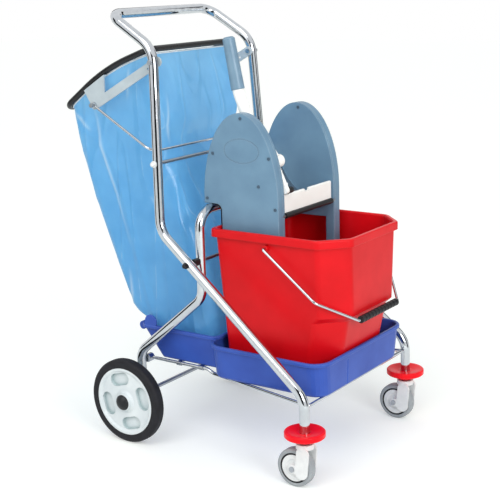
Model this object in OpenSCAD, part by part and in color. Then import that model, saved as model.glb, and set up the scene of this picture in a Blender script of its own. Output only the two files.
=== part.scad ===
// Janitor cart: a bent-tube trolley that carries a refuse bag, and a bucket with a mop press.
// Lengths are millimetres, +Z is up, +X points to the front casters and +Y to the left side.
// Positions along X are given ahead of the rear axle, and on_cart() moves them to the plan centre.

/* [Main frame] */
// Outside diameter of the frame tubes
tube_d = 22; // [20:0.5:23]
// Wall thickness of the frame tubes
tube_wall = 1.5; // [1:0.1:2.5]
// Height of the push bar's centre line
push_bar_h = 980; // [965:1:1020]
// Distance of the push bar behind the rear axle
push_bar_back = 32; // [20:1:45]
// Half the width of the push bar between its corners
handle_hw = 181; // [178:1:188]
// Top bend of the uprights, ahead of the rear axle
upright_top_x = 90; // [87:1:96]
// Top bend of the uprights, above the floor
upright_top_h = 906; // [895:1:915]
// Foot bend of the uprights, ahead of the rear axle
upright_foot_x = 107; // [100:1:115]
// Foot bend of the uprights, above the floor
upright_foot_h = 511; // [500:1:525]
// Front legs, ahead of the rear axle
leg_x = 487; // [482:1:500]
// Half the distance between the front legs
leg_hw = 226; // [222:1:236]
// Bend of the front legs, above the floor
leg_bend_h = 199; // [195:1:206]
// Centre-line radius of the frame's bends
frame_bend_r = 60; // [45:1:70]
// Centre-line radius of the push bar's corners
push_bar_bend_r = 36; // [30:1:50]

/* [Rear frame] */
// Half the distance between the rear frame's tubes
rear_hw = 170; // [169:0.5:174]
// Cross bar of the rear frame, ahead of the rear axle
rear_bar_x = 187; // [183:1:188]
// Cross bar of the rear frame, above the floor
rear_bar_h = 556; // [550:1:562]
// Lower bend of the rear frame's front posts, above the floor
rear_knee_h = 360; // [352:1:370]
// Bend above the rear axle, above the floor
rear_hip_h = 204; // [200:1:214]
// Centre-line radius of the rear frame's bends
rear_bend_r = 42; // [36:1:46]
// Length of rear leg below the axle
leg_tail = 16; // [13:1:20]

/* [Rods and fixings] */
// Diameter of the rods that tie the two sides together
rod_d = 8; // [6:0.5:9]
// Height of the tie rod between the uprights
tie_rod_h = 660; // [640:1:672]
// Diameter of the spacers between the crossing tubes
spacer_d = 17; // [14:1:21]
// Diameter of the cap nuts on the uprights' tie rod
nut_d = 11; // [9:1:14]
// Diameter of the caps on the crossing rod
cap_d = 10; // [9:0.5:14]
// Length of the caps and cap nuts
cap_len = 10; // [9:1:16]
// Radial clearance of drilled holes on their rods and bolts
hole_clear = 0.1; // [0.05:0.05:0.2]
// Gap between pieces that lie against each other
seat_gap = 0.3; // [0.2:0.05:0.4]
// Radial running clearance of pins and shafts
run_clear = 0.08; // [0.04:0.01:0.1]

/* [Rear wheels] */
// Outside diameter of the rear tyres
wheel_d = 200; // [190:1:205]
// Width of the rear tyres
tyre_w = 28; // [24:1:32]
// Diameter of the rim under the tyre
rim_d = 160; // [150:1:164]
// Half the distance between the middles of the rear wheels
wheel_hw = 225; // [220:1:232]
// Diameter of the rear axle
axle_d = 10; // [8:0.5:12]
// Diameter of the wheel hub
hub_d = 44; // [42:1:50]
// Length of the wheel hub
hub_len = 40; // [36:1:44]
// Diameter of the axle caps
axle_cap_d = 37; // [34:1:40]
// Number of pockets in the rim's face
pockets = 4; // [3:1:4]
// Width of a pocket along the radius
pocket_w = 30; // [24:1:30]
// Length of a pocket around the rim
pocket_len = 56; // [44:1:56]
// Radius at the middle of the pockets
pocket_r = 53; // [52:0.5:53.5]
// Depth of the pockets
pocket_depth = 8; // [5:0.5:10]

/* [Front casters] */
// Diameter of the caster wheels
caster_d = 85; // [80:1:86]
// Width of the caster wheels
caster_w = 24; // [22:1:26]
// Distance of the caster axle behind its swivel
caster_trail = 22; // [19:1:26]
// Thickness of the fork's cheeks
fork_wall = 4; // [3:0.5:5]
// Half the width of a fork cheek
fork_r = 16; // [14:0.5:18]
// Diameter of the caster's stem
stem_d = 12; // [10:0.5:13]
// Length of the caster's stem in the leg
stem_len = 45; // [35:1:60]
// Diameter of the caster's axle bolt
caster_axle_d = 8; // [6:0.5:9]
// Underside of the front legs, above the floor
leg_end_h = 104; // [103:0.5:108]
// Diameter of the bumper discs
bumper_d = 88; // [80:1:92]
// Thickness of a bumper disc at its edge
bumper_edge = 13; // [8:0.5:15]
// Height of a bumper disc
bumper_h = 24; // [21:1:26]

/* [Tray] */
// Rear end of the tray's floor, ahead of the rear axle
tray_rear_x = 34; // [30:1:40]
// Wall between the bag bay and the bucket bay, ahead of the rear axle
tray_mid_x = 206; // [204:0.5:208]
// Front end of the tray, ahead of the rear axle
tray_front_x = 507; // [505:1:512]
// Half the width of the bag bay
bag_bay_hw = 157; // [155:0.5:158]
// Half the width of the bucket bay
bucket_bay_hw = 183; // [176:1:186]
// Underside of the bucket bay, above the floor
tray_base_h = 181; // [179:0.5:183]
// Step from the bucket bay up to the bag bay
tray_step = 8; // [6:0.5:10]
// Height of the bucket bay's walls
tray_wall_h = 78; // [70:1:84]
// Radius of the roll along the tray's rear edge
tray_roll_r = 10; // [8:0.5:11]
// Radius of the ears on the bag bay's rim
tray_ear_r = 17; // [14:1:19]
// Wall thickness of the tray
tray_wall = 3; // [2:0.25:4]
// Draft of the tray's walls
tray_draft = 8; // [5:0.5:10]
// Draft of the tray's front wall
tray_front_draft = 3; // [2:0.5:4]
// Radius of the bucket bay's corners
tray_corner_r = 36; // [24:1:40]
// Overhang of the tray's rim
tray_rim = 5; // [4:0.5:6]
// Lean of the back wall of the bag bay
tray_back_lean = 42; // [38:1:46]
// Diameter of the tray carrier's wire
carrier_d = 8; // [7:0.5:8]

/* [Bag holder] */
// Front bar of the bag ring, ahead of the rear axle
ring_front_x = 56; // [50:1:60]
// Front bar of the bag ring, above the floor
ring_front_h = 903; // [899:1:908]
// Rear bar of the bag ring, behind the rear axle
ring_back = 202; // [195:1:210]
// Rear bar of the bag ring, above the floor
ring_rear_h = 765; // [758:1:772]
// Rise of the ring's sides above the straight line between its bars
ring_arch = 24; // [20:1:28]
// Half the width of the bag ring
ring_hw = 160; // [155:1:162]
// Diameter of the ring's wire
ring_d = 6; // [5:0.5:7]
// Diameter of the rubber profile that clamps the bag on the ring
profile_d = 14; // [12:0.5:15]
// Height of the arms' bolts on the uprights
arm_bolt_h = 878; // [872:1:882]
// Width of the arms
arm_w = 21; // [18:1:23]
// Thickness of the arms
arm_t = 4; // [3:0.5:4.5]
// Rear end of the arms, behind the rear axle
arm_back = 98; // [92:1:104]
// Drop of the arms from the uprights to their rear ends
arm_drop = 101; // [96:1:105]
// Diameter of the strut wire under the arms
strut_d = 6; // [5:0.5:6.5]
// Height of the strut's cross run on the uprights
strut_h = 685; // [680:1:695]
// Diameter of the bolts in the arms
arm_bolt_d = 6; // [5:0.5:7]

/* [Bag] */
// Thickness of the bag's solid wall
bag_wall = 2; // [1.5:0.25:3]
// Half the width of the bag at its middle
bag_hw = 150; // [146:0.5:151]

/* [Bucket] */
// Rear edge of the bucket's rim, ahead of the rear axle
bucket_rear_x = 202; // [201:0.5:204]
// Length of the bucket's rim
bucket_l = 331; // [322:1:332]
// Half the width of the bucket's rim
bucket_hw = 157; // [152:1:158]
// Height of the bucket
bucket_h = 333; // [325:1:340]
// Wall thickness of the bucket
bucket_wall = 3; // [2:0.25:4]
// Cut of the bucket's front corners
bucket_cut = 52; // [44:1:58]
// Overhang of the bucket's rim
bucket_rim = 7; // [5:0.5:9]
// Depth of the bucket's rim
bucket_rim_h = 19; // [14:1:22]
// Draft of the bucket's sides from the rim down to its floor
bucket_draft = 18; // [12:1:22]
// Height of the ledge in the front wall above the bucket's floor
ledge_h = 160; // [154:1:166]
// Depth of the ledge in the front wall
ledge_depth = 15; // [12:1:18]
// Lean of the front wall below the ledge
front_lean = 28; // [26:1:34]
// Diameter of the bail's wire
bail_d = 6; // [5:0.5:7]
// Bail's pivot, ahead of the rear axle
bail_x = 348; // [342:1:354]
// Bail's pivot below the rim's top edge
bail_drop = 30; // [28:1:34]
// Length of the bail from its pivot to its grip
bail_l = 242; // [238:1:250]
// Slope of the hanging bail below the horizontal
bail_slope = 38; // [37:0.5:39]
// Diameter of the bail's grip
grip_d = 16; // [14:0.5:17]
// Length of the bail's grip
grip_l = 158; // [150:1:162]

/* [Mop press] */
// Half the distance between the outer faces of the press covers
press_hw = 127; // [125:0.5:130]
// Thickness of one cheek, cover and side plate together
cheek_t = 24; // [20:1:26]
// Thickness of the side plates
side_t = 6; // [5:0.5:8]
// Wall thickness of the covers
cover_wall = 3; // [2:0.25:4]
// Thickness of the rubber pads in the heels of the cheeks
pad_t = 4; // [3:0.5:5]
// Middle of the cheeks, ahead of the rear axle
cheek_x = 269; // [267:0.5:271]
// Half the length of the cheeks
cheek_a = 98; // [96:0.5:100]
// Height of the cheeks' arch above its springing
cheek_b = 193; // [186:1:198]
// Height of the cheeks' springing above the cross bar's top
cheek_spring = 9; // [6:0.5:12]
// Lower end of the cheeks below the bucket's rim
cheek_sink = 8; // [6:0.5:12]
// Length of the front legs of the cheeks
cheek_leg = 70; // [60:1:90]
// Pivot of the press, ahead of the rear axle
pivot_x = 338; // [335:0.5:340]
// Pivot of the press, above the springing of the cheeks
pivot_rise = 89; // [86:0.5:92]
// Diameter of the lever's pivot
pivot_d = 10; // [8:0.5:11]
// Diameter of the lever's hub
lever_hub_d = 28; // [26:1:36]
// Inner radius of the perforated trough
trough_r = 121; // [119:0.5:123]
// Thickness of the trough
trough_t = 2.5; // [2:0.25:3.5]
// Holes across the trough
holes_across = 8; // [6:1:9]
// Rows of holes around the trough
hole_rows = 4; // [3:1:4]
// Diameter of the trough's holes
hole_d = 11; // [8:0.5:13]
// Height of the jaw plate above its hinge
jaw_h = 46; // [42:1:48]
// Thickness of the jaw plate
jaw_t = 6; // [5:0.5:7]
// Diameter of the jaw's hinge barrel
barrel_d = 13; // [11.5:0.5:14]
// Gap between the jaw's ends and the side plates
jaw_gap = 6; // [4:0.5:8]
// Middle of the lever, to the right of the cart's middle
lever_y = 88; // [86:0.5:90]
// Top end of the lever behind the pivot
lever_back = 118; // [110:1:126]
// Top end of the lever above the pivot
lever_rise = 268; // [258:1:276]
// Diameter of the lever's tube
lever_d = 25; // [22:0.5:26]
// Diameter of the lever's grip at its top
lever_grip_d = 27; // [26:0.5:29]
// Length of the lever's grip
lever_grip_l = 122; // [112:1:130]

/* [Hidden] */
$fn = 48;

chrome = "lightgray";
black = "dimgray";
tube_r = tube_d / 2;
rod_r = rod_d / 2;
wheel_r = wheel_d / 2;
axle_r = axle_d / 2;
caster_r = caster_d / 2;
// Inward lean of the main frame's sides, per millimetre of height
flare = (leg_hw - handle_hw) / (push_bar_h - leg_bend_h);
// The main and the rear frame cross at the rear frame's front posts
diagonal_fall = (upright_foot_h - leg_bend_h) / (leg_x - upright_foot_x);
cross_h = upright_foot_h - (rear_bar_x - upright_foot_x) * diagonal_fall;
// Fixings on the leaning side tubes stand off by the lean over their own width
lean_gap = seat_gap + spacer_d / 2 * flare;
tie_rod_hw = side_hw(tie_rod_h) + tube_r + lean_gap;
crossing_hw = side_hw(cross_h) + tube_r + lean_gap;
washer_t = 2;
arm_y = side_hw(arm_bolt_h) - tube_r - arm_w * flare - seat_gap;
ring_rear_x = -ring_back;
tray_top_h = tray_base_h + tray_wall_h;
bag_bay_base_h = tray_base_h + tray_step;
bag_bay_top_h = tray_top_h + tray_step;
carrier_h = tray_base_h - seat_gap - carrier_d / 2;
bucket_base_h = tray_base_h + tray_wall + seat_gap;
bucket_top_h = bucket_base_h + bucket_h;
bail_h = bucket_top_h - bail_drop;
bail_r = bail_d / 2;
bail_ear_t = 7;
bail_hw = bucket_hw + bail_r + 3;
spring_h = rear_bar_h + tube_r + cheek_spring;
pivot_h = spring_h + pivot_rise;
side_y = press_hw - cheek_t;
jaw_hw = side_y - jaw_gap;
bail_reach = bail_x + bail_l * cos(bail_slope) + grip_d / 2;
front_reach = max(leg_x + bumper_d / 2, bucket_rear_x + bucket_l, bail_reach);
rear_reach = min(ring_rear_x - profile_d / 2, -wheel_r);
plan_shift = -(front_reach + rear_reach) / 2;

function unit(v) = v / norm(v);
function side_hw(h) = leg_hw - (h - leg_bend_h) * flare;
function upright_x(h) =
    let (share = (upright_top_h - h) / (upright_top_h - upright_foot_h))
    upright_top_x + (upright_foot_x - upright_top_x) * share;
function across(v) = unit(cross(abs(v.z) < 0.9 ? [0, 0, 1] : [0, 1, 0], v));
function placed(o, u, w) = let (v = cross(w, u))
    [[u.x, v.x, w.x, o.x], [u.y, v.y, w.y, o.y], [u.z, v.z, w.z, o.z], [0, 0, 0, 1]];
function turn_at(a, p, b) = acos(max(-1, min(1, unit(p - a) * unit(b - p))));
function setback(a, p, b, r) = r * tan(turn_at(a, p, b) / 2);
function mirrored(path) = [for (i = [len(path) - 1 : -1 : 0]) [path[i].x, -path[i].y, path[i].z]];
function both_ends(list) = concat(list, [for (i = [len(list) - 1 : -1 : 0]) list[i]]);
function turned(v, a) = [v.x * cos(a) - v.y * sin(a), v.x * sin(a) + v.y * cos(a)];

// Outline with rounded corners, each given anticlockwise as [x, y, radius]
function rounded(corners, steps = 6) = let (n = len(corners)) [
    for (i = [0 : n - 1])
        let (p = [corners[i].x, corners[i].y], r = corners[i].z,
             a = corners[(i + n - 1) % n], b = corners[(i + 1) % n],
             d1 = unit(p - [a.x, a.y]), d2 = unit([b.x, b.y] - p),
             turn = acos(d1 * d2), centre = p - d1 * r * tan(turn / 2) + [-d1.y, d1.x] * r)
        for (k = [0 : steps]) centre + turned([d1.y, -d1.x], turn * k / steps) * r
];
function at_height(outline, h) = [for (p = outline) [p.x, p.y, h]];
function box_outline(x0, x1, hw, r) = rounded([[x0, -hw, r], [x1, -hw, r], [x1, hw, r], [x0, hw, r]]);

module on_cart() {
    translate([plan_shift, 0, 0]) children();
}

// The left side is drawn, and the right side is its mirror image
module on_right() {
    on_cart() mirror([0, 1, 0]) children();
}

module on_both() {
    on_cart() children();
    on_right() children();
}

// Extrudes an outline drawn in X and Z between two values of Y
module plate(y0, y1) {
    translate([0, y1, 0]) rotate([90, 0, 0]) linear_extrude(y1 - y0) children();
}

// Cylinder along Y between two values of Y
module bar_y(x, z, r, y0, y1) {
    translate([x, y0, z]) rotate([-90, 0, 0]) cylinder(r = r, h = y1 - y0);
}

// Revolves an outline of radius and distance about a line along Y
module spun_y(x, y, z) {
    translate([x, y, z]) rotate([-90, 0, 0]) rotate_extrude() children();
}

// Round bar along straight runs joined by bends, which swell a little and lap over the runs
module bent(path, r, radii, closed = false) {
    n = len(path);
    runs = closed ? n : n - 1;
    swell = 0.04;
    for (i = [0 : runs - 1]) {
        a = path[i];
        b = path[(i + 1) % n];
        d = unit(b - a);
        start = closed || i > 0 ? setback(path[(i + n - 1) % n], a, b, radii[i]) : 0;
        stop = closed || i < n - 2 ? setback(a, b, path[(i + 2) % n], radii[(i + 1) % n]) : 0;
        multmatrix(placed(a + d * start, across(d), d)) cylinder(r = r, h = norm(b - a) - start - stop);
    }
    for (i = [(closed ? 0 : 1) : runs - 1]) {
        a = path[(i + n - 1) % n];
        p = path[i];
        b = path[(i + 1) % n];
        d1 = unit(p - a);
        d2 = unit(b - p);
        lap = min(1, 50 / radii[i]);
        inward = unit(d2 - (d1 * d2) * d1);
        centre = p - d1 * setback(a, p, b, radii[i]) + inward * radii[i];
        multmatrix(placed(centre, -inward, cross(-inward, d1))) rotate([0, 0, -lap])
            rotate_extrude(angle = turn_at(a, p, b) + 2 * lap)
                translate([radii[i], 0]) circle(r = r + swell);
    }
}

// Hollow tube along the same kind of path, open at its ends
module bent_tube(path, radii) {
    difference() {
        bent(path, tube_r, radii);
        bent(path, tube_r - tube_wall, radii);
    }
}

// Closed skin through a stack of rings with equal numbers of points
module skin(rings) {
    n = len(rings[0]);
    top = len(rings) - 1;
    polyhedron(
        points = [for (ring = rings) each ring],
        faces = concat(
            [[for (j = [0 : n - 1]) j]],
            [for (i = [0 : top - 1]) for (j = [0 : n - 1])
                [i * n + j, i * n + n + j, i * n + n + (j + 1) % n]],
            [for (i = [0 : top - 1]) for (j = [0 : n - 1])
                [i * n + j, i * n + n + (j + 1) % n, i * n + (j + 1) % n]],
            [[for (j = [n - 1 : -1 : 0]) top * n + j]]));
}

// A slot's straight sides lie this far inside its round ends, so that they cross them
slot_ease = 0.03;

// Bar with round ends between two points of a plane
module slot(a, b, r) {
    translate(a) circle(r = r);
    translate(b) circle(r = r);
    flat = r - slot_ease;
    translate(a) rotate(atan2(b.y - a.y, b.x - a.x)) translate([0, -flat]) square([norm(b - a), 2 * flat]);
}

// Push bar, uprights, diagonals and front legs are one bent tube

main_half = [
    [leg_x, -leg_hw, leg_end_h],
    [leg_x, -leg_hw, leg_bend_h],
    [upright_foot_x, -side_hw(upright_foot_h), upright_foot_h],
    [upright_top_x, -side_hw(upright_top_h), upright_top_h],
    [-push_bar_back, -handle_hw, push_bar_h]
];

module main_frame() {
    color(chrome) on_cart() difference() {
        bent_tube(concat(main_half, mirrored(main_half)),
            both_ends([0, frame_bend_r, frame_bend_r, frame_bend_r, push_bar_bend_r]));
        bar_y(rear_bar_x, cross_h, rod_r + hole_clear, -crossing_hw, crossing_hw);
        bar_y(upright_x(tie_rod_h), tie_rod_h, rod_r + hole_clear, -tie_rod_hw, tie_rod_hw);
        bar_y(upright_x(arm_bolt_h), arm_bolt_h, arm_bolt_d / 2 + hole_clear, -leg_hw, leg_hw);
    }
}

rear_half = [
    [0, -rear_hw, wheel_r - leg_tail],
    [0, -rear_hw, rear_hip_h],
    [rear_bar_x, -rear_hw, rear_knee_h],
    [rear_bar_x, -rear_hw, rear_bar_h]
];

module rear_frame() {
    color(chrome) on_cart() difference() {
        bent_tube(concat(rear_half, mirrored(rear_half)),
            both_ends([0, rear_bend_r, rear_bend_r, rear_bend_r]));
        bar_y(0, wheel_r, axle_r + hole_clear, -wheel_hw, wheel_hw);
        bar_y(rear_bar_x, cross_h, rod_r + hole_clear, -wheel_hw, wheel_hw);
    }
}

// Rods, spacers and cap nuts where the frames cross and between the uprights

module crossing_rod() {
    reach = crossing_hw + washer_t;
    color(chrome) on_cart() bar_y(rear_bar_x, cross_h, rod_r, -reach, reach);
}

module crossing_spacers() {
    color(black) on_both() difference() {
        bar_y(rear_bar_x, cross_h, spacer_d / 2,
            rear_hw + tube_r + seat_gap, crossing_hw - tube_d - 2 * lean_gap);
        bar_y(rear_bar_x, cross_h, rod_r + hole_clear, rear_hw, crossing_hw);
    }
}

// Domed cap over the end of a rod, with its flange against the tube
module cap_outline(d) {
    dome_r = d / 2;
    difference() {
        union() {
            square([dome_r, cap_len - dome_r / 2]);
            square([dome_r + washer_t, washer_t]);
            translate([0, cap_len - dome_r]) intersection() {
                circle(r = dome_r);
                square(dome_r);
            }
        }
        square([rod_r + hole_clear, washer_t + hole_clear]);
    }
}

module crossing_caps() {
    color(black) on_both() spun_y(rear_bar_x, crossing_hw, cross_h) cap_outline(cap_d);
}

module tie_rod() {
    color(chrome) on_cart()
        bar_y(upright_x(tie_rod_h), tie_rod_h, rod_r, -tie_rod_hw - washer_t, tie_rod_hw + washer_t);
}

module tie_rod_nuts() {
    color("white") on_both() spun_y(upright_x(tie_rod_h), tie_rod_hw, tie_rod_h) cap_outline(nut_d);
}

// Rear axle and wheels

hub_y = wheel_hw - hub_len / 2;
cap_y = wheel_hw + hub_len / 2 + seat_gap;
axle_cap_h = 10;
spacer_wall = 3;

module rear_axle() {
    color(chrome) on_cart() bar_y(0, wheel_r, axle_r, -cap_y - axle_cap_h / 2, cap_y + axle_cap_h / 2);
}

module axle_spacers() {
    color(chrome) on_both() difference() {
        bar_y(0, wheel_r, axle_r + spacer_wall, rear_hw + tube_r + seat_gap, hub_y - seat_gap);
        bar_y(0, wheel_r, axle_r + hole_clear, rear_hw, wheel_hw);
    }
}

module axle_caps() {
    cap_r = axle_cap_d / 2;
    dome_r = (cap_r * cap_r + axle_cap_h * axle_cap_h) / (2 * axle_cap_h);
    color(black) on_both() spun_y(0, cap_y, wheel_r) difference() {
        intersection() {
            translate([0, axle_cap_h - dome_r]) circle(r = dome_r, $fn = 96);
            square([cap_r, axle_cap_h]);
        }
        square([axle_r + hole_clear, axle_cap_h / 2 + hole_clear]);
    }
}

module leg_plugs() {
    plug_r = tube_r - tube_wall - hole_clear;
    plug_depth = 8;
    color(black) on_both() translate([0, rear_hw, wheel_r - leg_tail]) {
        cylinder(r = plug_r, h = plug_depth - axle_r);
        translate([0, 0, -washer_t]) cylinder(r = tube_r, h = washer_t);
    }
}

// Disc wheel: deep hub, dished web and a flat band for the tyre
module rim_outline() {
    band_r = rim_d / 2;
    band_hw = tyre_w / 2 - 1;
    lip = 5;
    web = 6;
    hub_r = hub_d / 2;
    face = band_hw - 4;
    polygon([
        [axle_r + run_clear, -hub_len / 2], [hub_r - lip, -hub_len / 2], [hub_r, face - web - pocket_depth],
        [band_r - 2 * lip, face - web - pocket_depth], [band_r - lip, -band_hw], [band_r, -band_hw],
        [band_r, band_hw], [band_r - lip, band_hw], [band_r - 2 * lip, face], [hub_r + lip, face + 1],
        [hub_r, face + lip], [hub_r - lip / 2, hub_len / 2], [axle_r + run_clear, hub_len / 2]
    ]);
}

module rear_rim() {
    half = (pocket_len - pocket_w) / 2;
    first = -16;
    difference() {
        spun_y(0, wheel_hw, wheel_r) rim_outline();
        for (i = [0 : pockets - 1])
            translate([0, wheel_hw, wheel_r]) rotate([0, first + i * 360 / pockets, 0])
                translate([pocket_r, 0, 0])
                plate(tyre_w / 2 - 5 - pocket_depth, tyre_w / 2) slot([0, -half], [0, half], pocket_w / 2);
    }
}

module rear_tyre() {
    crown = 9;
    bead = 2;
    inner = rim_d / 2 + hole_clear;
    spun_y(0, wheel_hw, wheel_r) polygon(rounded([
        [inner, -tyre_w / 2, bead], [wheel_r, -tyre_w / 2, crown], [wheel_r, tyre_w / 2, crown],
        [inner, tyre_w / 2, bead]]));
}

module rear_rim_right() {
    color("whitesmoke") on_right() rear_rim();
}

module rear_rim_left() {
    color("whitesmoke") on_cart() rear_rim();
}

module rear_tyre_right() {
    color("black") on_right() rear_tyre();
}

module rear_tyre_left() {
    color("black") on_cart() rear_tyre();
}

// Bumper discs, leg sockets and swivel casters

socket_flange = 3;
crown_h = leg_end_h - socket_flange - 1.3 * seat_gap;
crown_t = 11;
fork_gap = caster_w / 2 + 2.5;

module on_leg() {
    translate([leg_x, leg_hw, 0]) children();
}

module bumper() {
    bore_r = tube_r + hole_clear;
    edge_r = bumper_d / 2;
    boss_r = bore_r + 7;
    top = leg_end_h + bumper_h;
    on_leg() rotate_extrude($fn = 96) polygon([
        [bore_r, leg_end_h], [boss_r, leg_end_h], [boss_r + 2, leg_end_h + 3],
        [edge_r - 2, top - bumper_edge], [edge_r, top - bumper_edge + 2],
        [edge_r, top - 2], [edge_r - 2, top],
        [edge_r - 7, top], [boss_r, top - 4], [bore_r + 1, top - 4], [bore_r, top - 5]]);
}

module caster_socket() {
    sleeve_r = tube_r - tube_wall - hole_clear;
    on_leg() difference() {
        union() {
            translate([0, 0, leg_end_h - socket_flange])
                cylinder(r = tube_r + 3, h = socket_flange - hole_clear);
            translate([0, 0, leg_end_h - 2 * hole_clear]) cylinder(r = sleeve_r, h = stem_len + 6);
        }
        translate([0, 0, leg_end_h - 2 * socket_flange])
            cylinder(r = stem_d / 2 + run_clear, h = stem_len + socket_flange + 6);
    }
}

module caster_fork() {
    drop = crown_h - fork_r - crown_t / 3;
    on_leg() difference() {
        union() {
            translate([0, 0, crown_h - crown_t]) cylinder(r = fork_gap + fork_wall + 1, h = crown_t);
            translate([0, 0, crown_h - crown_t]) cylinder(d = stem_d, h = stem_len + crown_t);
            for (s = [0, 1]) mirror([0, s, 0]) plate(fork_gap, fork_gap + fork_wall) {
                slot([4, drop], [0, caster_r - 4], fork_r - 1);
                slot([-2, caster_r], [-caster_trail, caster_r], fork_r - 6);
            }
        }
        bar_y(-caster_trail, caster_r, caster_axle_d / 2 + hole_clear, -caster_d, caster_d);
    }
}

module caster_axle() {
    head_t = 3;
    outer = fork_gap + fork_wall + seat_gap;
    on_leg() {
        bar_y(-caster_trail, caster_r, caster_axle_d / 2, -outer - head_t, outer + head_t);
        for (s = [0, 1]) mirror([0, s, 0])
            bar_y(-caster_trail, caster_r, caster_axle_d * 0.75, outer, outer + head_t);
    }
}

tread_r = caster_r - 9;
cover_r = tread_r - 4;

module caster_hub() {
    hw = caster_w / 2;
    on_leg() spun_y(-caster_trail, 0, caster_r) polygon([
        [caster_axle_d / 2 + run_clear, -hw - 1], [8, -hw - 1], [10, -hw + 1], [18, -hw + 1.5], [20, -hw],
        [cover_r, -hw + 1], [cover_r, hw - 1], [20, hw], [18, hw - 1.5], [10, hw - 1], [8, hw + 1],
        [caster_axle_d / 2 + run_clear, hw + 1]]);
}

module caster_ring() {
    hw = caster_w / 2 - 1;
    on_leg() spun_y(-caster_trail, 0, caster_r) translate([cover_r + hole_clear, -hw])
        square([tread_r - cover_r - 2 * hole_clear, 2 * hw]);
}

module caster_tyre() {
    hw = caster_w / 2;
    on_leg() spun_y(-caster_trail, 0, caster_r) polygon(rounded([
        [tread_r, -hw, 1], [caster_r, -hw, 6], [caster_r, hw, 6], [tread_r, hw, 1]]));
}

module bumper_right() {
    color("crimson") on_right() bumper();
}

module bumper_left() {
    color("crimson") on_cart() bumper();
}

module caster_socket_right() {
    color(black) on_right() caster_socket();
}

module caster_socket_left() {
    color(black) on_cart() caster_socket();
}

module caster_fork_right() {
    color("white") on_right() caster_fork();
}

module caster_fork_left() {
    color("white") on_cart() caster_fork();
}

module caster_axle_right() {
    color(chrome) on_right() caster_axle();
}

module caster_axle_left() {
    color(chrome) on_cart() caster_axle();
}

module caster_hub_right() {
    color("whitesmoke") on_right() caster_hub();
}

module caster_hub_left() {
    color("whitesmoke") on_cart() caster_hub();
}

module caster_ring_right() {
    color("black") on_right() caster_ring();
}

module caster_ring_left() {
    color("black") on_cart() caster_ring();
}

module caster_tyre_right() {
    color("gray") on_right() caster_tyre();
}

module caster_tyre_left() {
    color("gray") on_cart() caster_tyre();
}

// Tray with a bay for the bag and a wider, lower bay for the bucket

rim_h = 9;

// One bay as a shell: floor, drafted walls and a rolled rim
module bay(x0, x1, hw, base, top, lean0, lean1, corner) {
    w = tray_wall;
    low = tray_draft;
    rim = tray_rim;
    in0 = x0 + lean0 + w;
    in1 = x1 - lean1 - w;
    skin([
        at_height(box_outline(x0 + lean0 + 3, x1 - lean1 - 3, hw - low - 3, corner - 4), base),
        at_height(box_outline(x0 + lean0, x1 - lean1, hw - low, corner), base + 4),
        at_height(box_outline(x0, x1, hw, corner), top - rim_h),
        at_height(box_outline(x0 - rim, x1 + rim, hw + rim, corner + rim), top - rim_h + 1),
        at_height(box_outline(x0 - rim, x1 + rim, hw + rim, corner + rim), top - 2),
        at_height(box_outline(x0 - rim + 2, x1 + rim - 2, hw + rim - 2, corner + rim - 2), top),
        at_height(box_outline(x0 + w - 2, x1 - w + 2, hw - w + 2, corner), top),
        at_height(box_outline(x0 + w, x1 - w, hw - w, corner - w), top - 3),
        at_height(box_outline(in0, in1, hw - low - w, corner - w), base + w + 3),
        at_height(box_outline(in0 + 3, in1 - 3, hw - low - w - 3, corner - w - 3), base + w)
    ]);
}

module tray() {
    corner = 16;
    back_x = tray_rear_x - tray_back_lean;
    front_x = tray_front_x - tray_rim;
    lap = 0.6 * tray_wall;
    channel_y = -70;
    channel_r = 4;
    channel_h = tray_wall_h - rim_h - 4;
    color("royalblue") on_cart() difference() {
        union() {
            bay(back_x, tray_mid_x + lap, bag_bay_hw - tray_rim, bag_bay_base_h, bag_bay_top_h,
                tray_back_lean, 1, corner);
            bay(tray_mid_x - lap, front_x, bucket_bay_hw, tray_base_h, tray_top_h,
                1, tray_front_draft, tray_corner_r);
            bar_y(back_x - tray_rim - 2, bag_bay_top_h - rim_h, tray_roll_r,
                corner - bag_bay_hw, bag_bay_hw - corner);
            for (s = [0, 1]) mirror([0, s, 0]) plate(bag_bay_hw - tray_wall - 1, bag_bay_hw - 1)
                translate([back_x + 29, bag_bay_top_h + 8]) {
                    circle(r = tray_ear_r);
                    translate([-tray_ear_r, -13]) square([2 * tray_ear_r, 13]);
                }
        }
        translate([front_x - tray_front_draft + channel_r - tray_wall / 2, channel_y, tray_base_h])
            rotate([0, atan2(tray_front_draft, channel_h), 0])
                translate([0, 0, -channel_r]) cylinder(r = channel_r, h = channel_h);
    }
}

// Wire carrier bent round the front of the tray, with eyes on the rear legs

carrier_r = carrier_d / 2;
carrier_y = rear_hw - tube_r - carrier_r - seat_gap - tray_draft;
carrier_front_y = leg_hw - tube_r - carrier_r - seat_gap;
eye_x = tube_r - 3;
carrier_half = [
    [eye_x, -carrier_y, carrier_h + tray_step],
    [tray_mid_x - 30, -carrier_y, carrier_h + tray_step],
    [tray_mid_x - 12, -carrier_y - 1, carrier_h],
    [leg_x, -carrier_front_y, carrier_h]
];
carrier_bends = [0, 30, 30, carrier_r + 2];
eye_h = carrier_h + tray_step;

module tray_carrier() {
    eye_r = carrier_r + 6;
    color(chrome) on_cart() {
        bent(concat(carrier_half, mirrored(carrier_half)), carrier_r, both_ends(carrier_bends));
        for (s = [-1, 1]) {
            y0 = s > 0 ? carrier_y - carrier_r : -rear_hw + tube_r + seat_gap;
            y1 = s > 0 ? rear_hw - tube_r - seat_gap : -carrier_y + carrier_r;
            bar_y(eye_x, eye_h, eye_r, y0, y1);
        }
    }
}

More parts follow.
